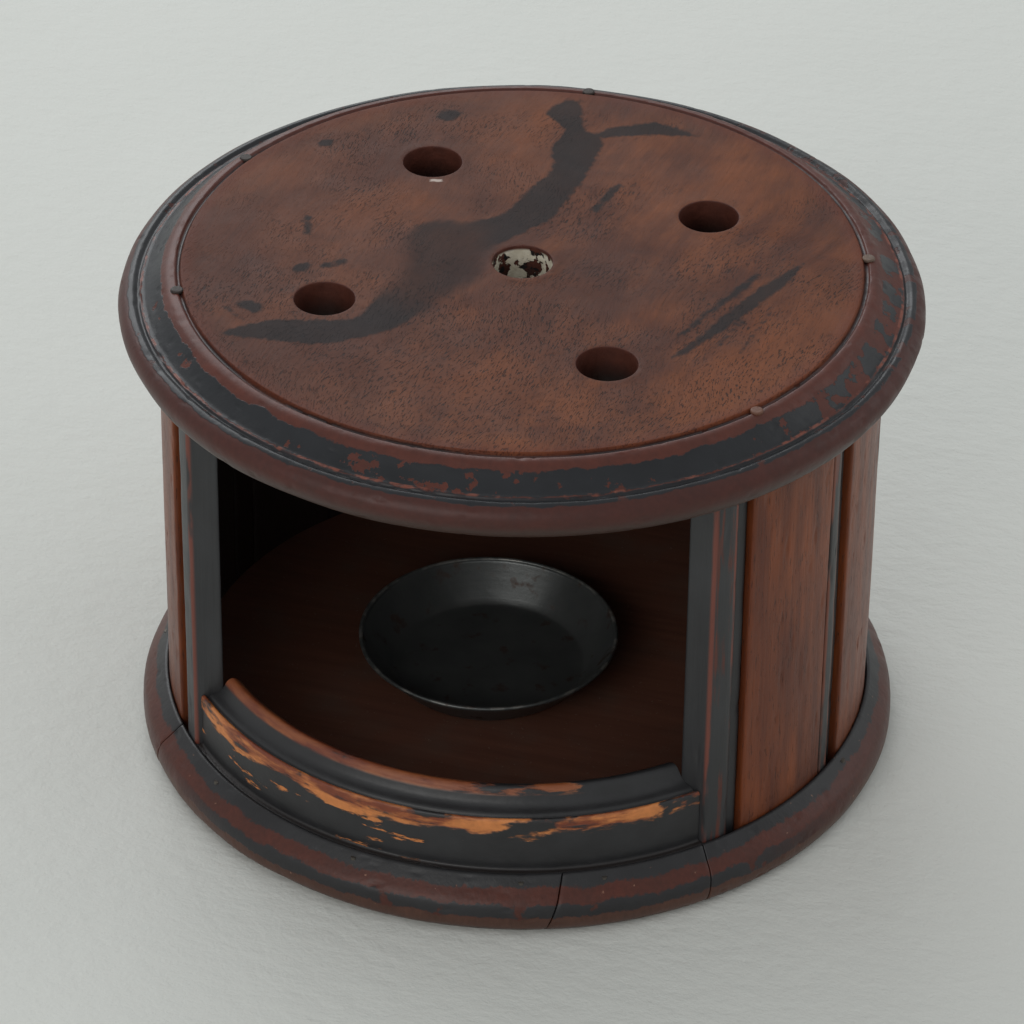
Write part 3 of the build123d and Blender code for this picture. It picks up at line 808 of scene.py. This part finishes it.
def plaster_floor():
    """Pale painted plaster with a fine trowelled texture and a few specks."""
    p = Paint("plaster_floor")
    broad = p.noise(210, 4.0, shift=3.0)
    colour = p.mix(broad, srgb(225, 226, 221), srgb(215, 217, 211))
    specks = p.step(p.noise(2.2, 2.0, shift=7.0), 0.76, 0.79)
    colour = p.mix(p.times(specks, 0.3), colour, srgb(150, 152, 150))
    relief = p.plus(p.times(p.noise(5.0, 5.0, stretch=(1.6, 1, 1), shift=1.0), 0.55),
                    p.times(p.noise(60, 3.0, shift=8.0), 1.2), p.times(p.noise(1.5, 3.0, shift=2.0), 0.16))
    return p.finish(colour, 0.7, relief, 0.3)


# Top board

def disc_cover(height, spacing, lowered):
    """Points and triangles of the pierced disc at one height."""
    outer = polar(DISC_EDGE, np.arange(RIM_COUNT) * 360 / RIM_COUNT)
    rings = [np.array(centre) + polar(HOLE_RADIUS + HOLE_EDGE, np.arange(HOLE_COUNT) * 360 / HOLE_COUNT)
             for centre in HOLES]
    steps = np.arange(-DISC_EDGE, DISC_EDGE, spacing)
    x, y = np.meshgrid(steps, steps * 0.8660254)
    x = x + np.where(np.arange(len(steps)) % 2, spacing / 2, 0.0)[:, None]
    field = np.stack([x.ravel(), y.ravel()], 1)
    clear = np.linalg.norm(field, axis=1) < DISC_EDGE - 0.7
    for centre in HOLES:
        clear &= np.linalg.norm(field - np.array(centre), axis=1) > HOLE_RADIUS + HOLE_EDGE + 0.5
    plan = np.concatenate([outer] + rings + [field[clear]])
    edges, first = [], 0
    for count in [RIM_COUNT] + [HOLE_COUNT] * len(HOLES):
        edges += [(first + k, first + (k + 1) % count) for k in range(count)]
        first += count
    made = delaunay_2d_cdt([Vector(q) for q in plan], edges, [], 0, 1e-7)
    points = np.array([tuple(q) for q in made[0]])
    triangles = np.array([tuple(f) for f in made[2]])
    middles = points[triangles].mean(1)
    keep = np.ones(len(triangles), bool)
    for centre in HOLES:
        keep &= np.linalg.norm(middles - np.array(centre), axis=1) > HOLE_RADIUS + HOLE_EDGE * 0.98
    solid = raised(points, height)
    if lowered:
        fade = smoothstep(0.0, 4.0, DISC_EDGE - np.linalg.norm(points, axis=1))
        for centre in HOLES:
            away = np.linalg.norm(points - np.array(centre), axis=1)
            fade *= smoothstep(HOLE_RADIUS + HOLE_EDGE, HOLE_RADIUS + 4, away)
        sink = 0.22 * (0.5 + 0.5 * ripples(solid, 75, 5)) + 0.05 * (0.5 + 0.5 * ripples(solid, 11, 6))
        solid[:, 2] -= sink * fade
    return solid, triangles[keep].tolist()


def hole_lining(centre):
    """Wall of one hole with its edges eased at both faces."""
    ease = np.radians([0, 30, 60, 90])
    upper = [(HOLE_RADIUS + HOLE_EDGE * (1 - math.sin(a)), TOP - HOLE_EDGE * (1 - math.cos(a)))
             for a in ease]
    middle = [(HOLE_RADIUS, z) for z in np.linspace(TOP - HOLE_EDGE - 0.6, UNDERSIDE + HOLE_EDGE + 0.6, 12)]
    lower = [(r, UNDERSIDE + TOP - z) for r, z in reversed(upper)]
    profile = upper + middle + lower
    bearings = np.arange(HOLE_COUNT) * 360 / HOLE_COUNT
    rows = [raised(np.array(centre) + polar(r, bearings), z) for r, z in profile]
    return np.concatenate(rows), grid_faces(len(profile), HOLE_COUNT, False)


def board_edge():
    """Moulded edge from the disc round the nosing and back under the board."""
    ogee_foot = (FILLET_RADIUS - 1.3, FILLET_HEIGHT + 0.2)
    groove = (FILLET_RADIUS + 0.4, FILLET_HEIGHT - 1.0)
    front = (TOP_RADIUS, NOSING_CENTRE - 0.2)
    foot = (TOP_RADIUS - 6.0, UNDERSIDE)
    profile = corners((DISC_EDGE, TOP), (101.1, TOP), (101.8, TOP - 1.1), (102.2, TOP - 1.1),
                      (102.9, TOP - 0.15), step=0.3)
    profile += curve([(102.9, TOP - 0.15), (105.4, TOP - 0.8), (109.3, TOP - 4.3), ogee_foot], 0.5)
    profile += corners(ogee_foot, (FILLET_RADIUS, FILLET_HEIGHT), groove, step=0.4)
    profile += curve([groove, (TOP_RADIUS - 4.2, NOSING_CENTRE + 4.2),
                      (TOP_RADIUS - 1.4, NOSING_CENTRE + 2.6), front,
                      (TOP_RADIUS - 0.7, NOSING_CENTRE - 3.9),
                      (TOP_RADIUS - 2.6, NOSING_CENTRE - 6.7), foot], 0.5)
    profile += corners(foot, (109, UNDERSIDE), (DISC_EDGE, UNDERSIDE), step=4.0)
    profile.append((DISC_EDGE, UNDERSIDE))
    line = np.array(profile)
    worn = line.copy()
    worn[1:-1] = (line[:-2] + 2 * line[1:-1] + line[2:]) / 4
    along = np.gradient(worn, axis=0)
    normals = np.stack([-along[:, 1], along[:, 0]], 1) / np.linalg.norm(along, axis=1, keepdims=True)
    ends = smoothstep(0.0, 1.0, worn[:, 0] - DISC_EDGE) * smoothstep(UNDERSIDE, UNDERSIDE + 1.5, worn[:, 1])
    off_edge = (worn - (FILLET_RADIUS, FILLET_HEIGHT)) / (0.5, 0.6)
    fillet_edge = np.exp(-(off_edge**2).sum(1))
    rows = []
    for bearing in np.arange(RIM_COUNT) * 360 / RIM_COUNT:
        place = raised(polar(worn[:, 0], bearing), worn[:, 1])
        chipped = fillet_edge * smoothstep(0.2, 1.1, ripples(place, 7, 77)) * 0.55
        inset = (wear(place, 70, 0.30, 0.28) + chipped) * ends
        moved = worn - normals * inset[:, None]
        rows.append(raised(polar(moved[:, 0], bearing), moved[:, 1]))
    columns = len(worn)
    index = np.arange(RIM_COUNT * columns).reshape(RIM_COUNT, columns)
    after = np.roll(index, -1, 0)
    quads = np.stack([index[:, :-1], index[:, 1:], after[:, 1:], after[:, :-1]], -1).reshape(-1, 4)
    return np.concatenate(rows), quads.tolist()


def build_top_board():
    """Top board: pierced disc, moulded edge, hole walls and underside in one mesh."""
    shells = [disc_cover(TOP, 1.7, True), disc_cover(UNDERSIDE, 7.0, False), board_edge()]
    shells += [hole_lining(centre) for centre in HOLES]
    points, faces = [], []
    for shell_points, shell_faces in shells:
        offset = sum(len(p) for p in points)
        points.append(shell_points)
        faces += [[offset + k for k in face] for face in shell_faces]

    def picker(middle):
        for number, centre in enumerate(HOLES):
            if math.hypot(middle.x - centre[0], middle.y - centre[1]) < HOLE_RADIUS + 0.4:
                return 3 if number == 0 else 2
        if math.hypot(middle.x, middle.y) < 101.6 and middle.z > UNDERSIDE + 9:
            return 0
        return 1

    materials = [disc_wood(), moulding_wood(), hole_wood(False), hole_wood(True)]
    board = make_piece("top_board_turned", np.concatenate(points), faces, "top_board",
                       materials, picker)
    plan = np.array([(v.co.x, v.co.y) for v in board.data.vertices]) / MM
    add_field(board, "stain", stain_depth(plan))
    add_field(board, "fleck", FLECK[0] - line_distance(plan, FLECK[1], False))


# Wall, sill, ring, pan

def reveal_direction(side):
    """Direction in the plan from a post's front corner to its inner corner."""
    angle = math.radians(OPENING_HALF_ANGLE + REVEAL_SPLAY)
    return np.array([-side * math.sin(angle), math.cos(angle)])


def reveal_bearing(radius):
    """Bearing at which the right post's splayed face crosses each radius."""
    corner = polar(WALL_RADIUS, OPENING_HALF_ANGLE)
    direction = reveal_direction(1)
    along = float(corner @ direction)
    distance = -along - np.sqrt(np.maximum(along**2 - WALL_RADIUS**2 + np.asarray(radius) ** 2, 0))
    x = corner[0] + distance * direction[0]
    y = corner[1] + distance * direction[1]
    return np.degrees(np.arctan2(x, -y))


def strip_outline(start, groove_start, end):
    """Outer plan of a strip with a rounded edge, then its groove."""
    turn = math.copysign(STRIP_ROUND, groove_start - start)
    outer = plan_arc(WALL_RADIUS, start, groove_start - turn)
    outer += plan_arc(WALL_RADIUS - 0.2, groove_start - turn * 0.8, groove_start - turn * 0.5)
    outer += plan_arc(WALL_RADIUS - 0.65, groove_start - turn * 0.3, groove_start - turn * 0.2)
    round_foot = polar(WALL_RADIUS - 1.1, groove_start - turn * 0.05)
    outer += straight(round_foot, polar(GROOVE_RADIUS, groove_start))
    outer += plan_arc(GROOVE_RADIUS, groove_start, end)
    outer += straight(polar(GROOVE_RADIUS, end), polar(WALL_INNER, end), 1.0)
    return outer


def build_wall():
    """Two posts, ten panels and nine stiles."""
    for side, name in ((1, "post_right"), (-1, "post_left")):
        corner = side * OPENING_HALF_ANGLE
        groove = corner + side * POST_STRIP
        end = groove + side * POST_GROOVE
        inner = side * float(reveal_bearing(WALL_INNER))
        outline = strip_outline(corner, groove, end)
        outline += plan_arc(WALL_INNER, end, inner, 1.0)
        outline += straight(polar(WALL_INNER, inner), polar(WALL_RADIUS, corner), 0.6)
        wood = post_wood(f"{name}_ebonised", side)
        upright(f"{name}_worn", outline, name, wood, 11 + side)
    wall_start = OPENING_HALF_ANGLE + POST_STRIP + POST_GROOVE
    stile_angle = STILE_STRIP + STILE_GROOVE
    panel_angle = (360 - 2 * wall_start - (PANEL_COUNT - 1) * stile_angle) / PANEL_COUNT
    for number in range(PANEL_COUNT):
        start = wall_start + number * (panel_angle + stile_angle)
        end = start + panel_angle
        outline = plan_arc(WALL_RADIUS, start, end, 0.7)
        outline += straight(polar(WALL_RADIUS, end), polar(WALL_INNER, end), 0.7)
        outline += plan_arc(WALL_INNER, end, start, 1.4)
        outline += straight(polar(WALL_INNER, start), polar(WALL_RADIUS, start), 0.7)
        label = f"{number + 1:02d}"
        upright(f"panel_{label}_grained", outline, f"wall_panel_{label}",
                panel_wood(number + 1), 100 + 7 * number)
        if number < PANEL_COUNT - 1:
            groove = end + STILE_STRIP
            stop = groove + STILE_GROOVE
            outline = strip_outline(end, groove, stop)
            outline += plan_arc(WALL_INNER, stop, end, 1.2)
            outline += straight(polar(WALL_INNER, end), polar(WALL_RADIUS, end), 0.7)
            wrapped = (end + 180) % 360 - 180
            upright(f"stile_{label}_worn", outline, f"wall_stile_{label}",
                    stile_wood(f"stile_ebonised_{label}", wrapped, wrapped + STILE_STRIP - 0.4, 0.02),
                    200 + 7 * number)


def build_sill():
    """Curved sill between the posts."""
    face, crest, inner = 106.5, 98.6, 94.8
    profile = corners((WALL_INNER, WALL_FOOT), (WALL_RADIUS, WALL_FOOT), (WALL_RADIUS, 17.2),
                      (face, 17.2), (face, 34.8), step=0.6)
    profile += curve([(face, 34.8), (face - 0.35, 35.5), (face - 1.1, 35.7)], 0.3)
    profile += corners((face - 1.1, 35.7), (face - 1.8, 34.6), (face - 2.4, 35.8), step=0.3)
    profile += curve([(face - 2.4, 35.8), (crest + 2.6, 37.4), (crest + 0.6, 41.3)], 0.4)
    profile += curve([(crest + 0.6, 41.3), (crest - 0.9, 42.2), (inner + 0.6, 40.8)], 0.4)
    profile += corners((inner + 0.6, 40.8), (inner, 38.8), (inner, CHAMBER_FLOOR),
                       (WALL_INNER, CHAMBER_FLOOR), (WALL_INNER, WALL_FOOT), step=0.8)
    loop = softened(profile, 2)
    gap = math.degrees(0.05 / WALL_RADIUS)
    swept("front_sill_worn", loop,
          lambda r, z: gap - reveal_bearing(r), lambda r, z: reveal_bearing(r) - gap,
          "front_sill", [sill_wood()], 190, 31, 0.30, 0.55, arris=0.15)


def build_ring():
    """Base ring in five segments, meeting at worn joints."""
    widest = (BASE_RADIUS, 6.6)
    shoulder, lip = (RING_INNER + 1.2, 17.6), (114.0, 0.5)
    profile = corners((RING_INNER, 0), (RING_INNER, 17.5), (RING_INNER + 0.5, 17.8), shoulder, step=0.5)
    profile += curve([shoulder, (112.6, 14.7), (116.0, 11.0), widest, (116.3, 3.0), lip], 0.5)
    profile += corners(lip, (113.2, 0.0), (RING_INNER, 0.0), step=0.6)
    loop = np.array(profile[::-1])
    material = ring_wood()
    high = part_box("base_ring_back")[1].z / MM
    gap = math.degrees(RING_GAP / BASE_RADIUS)
    for number, (name, (start, end)) in enumerate(RING_SEGMENTS.items()):
        first = lambda r, z, s=start: s[0] + (s[1] - s[0]) * z / high + gap
        last = lambda r, z, e=end: e[0] + (e[1] - e[0]) * z / high - gap
        length = math.radians(end[0] - start[0]) * BASE_RADIUS
        swept(f"{name}_worn", loop, first, last, name, [material], int(length / 1.3),
              41 + 10 * number, 0.28, 0.32, arris=0.45)


def build_pan():
    """Sheet-iron pan: flat bottom, flared wall and rolled lip, a little out of true."""
    base = PAN_LOW.z / MM
    high = PAN_HIGH.z / MM
    sheet, foot, lip = 0.8, 30.0, 0.75
    rim = (PAN_HIGH.x - PAN_LOW.x) / 2 / MM
    axis = (rim - lip, high - lip)
    slope = math.degrees(math.atan2(axis[1] - base, axis[0] - foot))
    profile = straight((0.0, base), (foot - 1.2, base), 1.5)
    profile += curve([(foot - 1.2, base), (foot + 0.3, base + 0.3), (foot + 1.4, base + 1.3)], 0.4)
    profile += straight((foot + 1.4, base + 1.3), (axis[0] + 0.2, axis[1] - 0.7), 0.8)
    profile += arc(axis, lip, slope - 120, slope + 135, 0.2)
    inner = foot - 0.5
    profile += straight((axis[0] - 0.7, axis[1] + 0.1), (inner + 1.3, base + sheet + 1.2), 0.8)
    profile += curve([(inner + 1.3, base + sheet + 1.2), (inner + 0.2, base + sheet + 0.25),
                      (inner - 1.2, base + sheet)], 0.4)
    profile += straight((inner - 1.2, base + sheet), (0.0, base + sheet), 1.5)
    profile.append((0.0, base + sheet))
    turned("coal_pan_sheet", np.array(profile), PAN_CENTRE, "coal_pan", [pan_iron()],
           180, 61, 0.14, 0.05)


def paint_node(name, material):
    """Gives a kept CAD node its procedural material."""
    mesh = frame["nodes"][name].data
    mesh.materials.clear()
    mesh.materials.append(material)


def finish_cad_nodes():
    """Materials of the CAD nodes whose shape stays."""
    paint_node("bottom_board", floor_board_wood())
    paint_node("base_pins", nail_metal("pin_steel", (70, 66, 62), (130, 124, 116), 0.8))
    iron = nail_metal("nail_iron", (34, 29, 27), (64, 54, 48), 0.35)
    bright = nail_metal("nail_rubbed", (70, 56, 48), (132, 112, 98), 0.4)
    brown = nail_metal("nail_browned", (84, 52, 40), (122, 84, 66), 0.2)
    for number, material in enumerate((brown, bright, iron, iron, iron), 1):
        paint_node(f"top_nail_{number}", material)


# Floor, light and camera

def build_floor():
    """Plain pale floor under the object."""
    half = 3.0
    mesh = bpy.data.meshes.new("plaster_floor")
    square = [(-half, -half, 0), (half, -half, 0), (half, half, 0), (-half, half, 0)]
    mesh.from_pydata(square, [], [(0, 1, 2, 3)])
    floor = bpy.data.objects.new("plaster_floor", mesh)
    bpy.context.scene.collection.objects.link(floor)
    mesh.materials.append(plaster_floor())


def softbox(name, place, target, size, power, colour):
    """Large soft area light aimed at a point."""
    light = bpy.data.lights.new(name, "AREA")
    light.shape = "RECTANGLE"
    light.size, light.size_y = size
    light.energy = power
    light.color = colour
    lamp = bpy.data.objects.new(name, light)
    lamp.location = place
    lamp.rotation_euler = (Vector(target) - Vector(place)).to_track_quat("-Z", "Y").to_euler()
    bpy.context.scene.collection.objects.link(lamp)


def build_light():
    """Soft studio light, mostly from behind and the left, over an even pale surround."""
    world = bpy.data.worlds.new("studio")
    world.use_nodes = True
    background = world.node_tree.nodes["Background"]
    background.inputs["Color"].default_value = (0.96, 0.99, 1.0, 1.0)
    background.inputs["Strength"].default_value = 0.52
    bpy.context.scene.world = world
    softbox("back_left", (-1.5, 1.9, 1.6), (0, 0, 0.1), (2.2, 1.6), 30.0, (0.96, 0.98, 1.0))
    softbox("back_right", (1.9, 1.2, 1.2), (0, 0, 0.1), (1.4, 1.4), 4.0, (1.0, 1.0, 1.0))
    softbox("front_fill", (-0.5, -2.3, 1.25), (0, 0, 0.05), (1.8, 1.1), 14.0, (1.0, 0.98, 0.95))
    bpy.context.scene.view_settings.view_transform = "Standard"


def build_camera():
    """Camera of the reference view."""
    place = Vector((0.3717, -1.2549, 0.9780))
    aim = Vector((-0.23484, 0.78795, -0.56919)).normalized()
    roll = math.radians(0.690)
    level = aim.cross(Vector((0, 0, 1))).normalized()
    upward = level.cross(aim)
    right = level * math.cos(roll) + upward * math.sin(roll)
    up = right.cross(aim)
    data = bpy.data.cameras.new("camera")
    data.lens = 182.8
    data.sensor_width = 36.0
    data.clip_start, data.clip_end = 0.05, 50.0
    camera = bpy.data.objects.new("camera", data)
    camera.matrix_world = Matrix.Translation(place) @ Matrix((right, up, -aim)).transposed().to_4x4()
    bpy.context.scene.collection.objects.link(camera)
    bpy.context.scene.camera = camera


build_top_board()
build_wall()
build_sill()
build_ring()
build_pan()
finish_cad_nodes()
build_floor()
build_light()
build_camera()
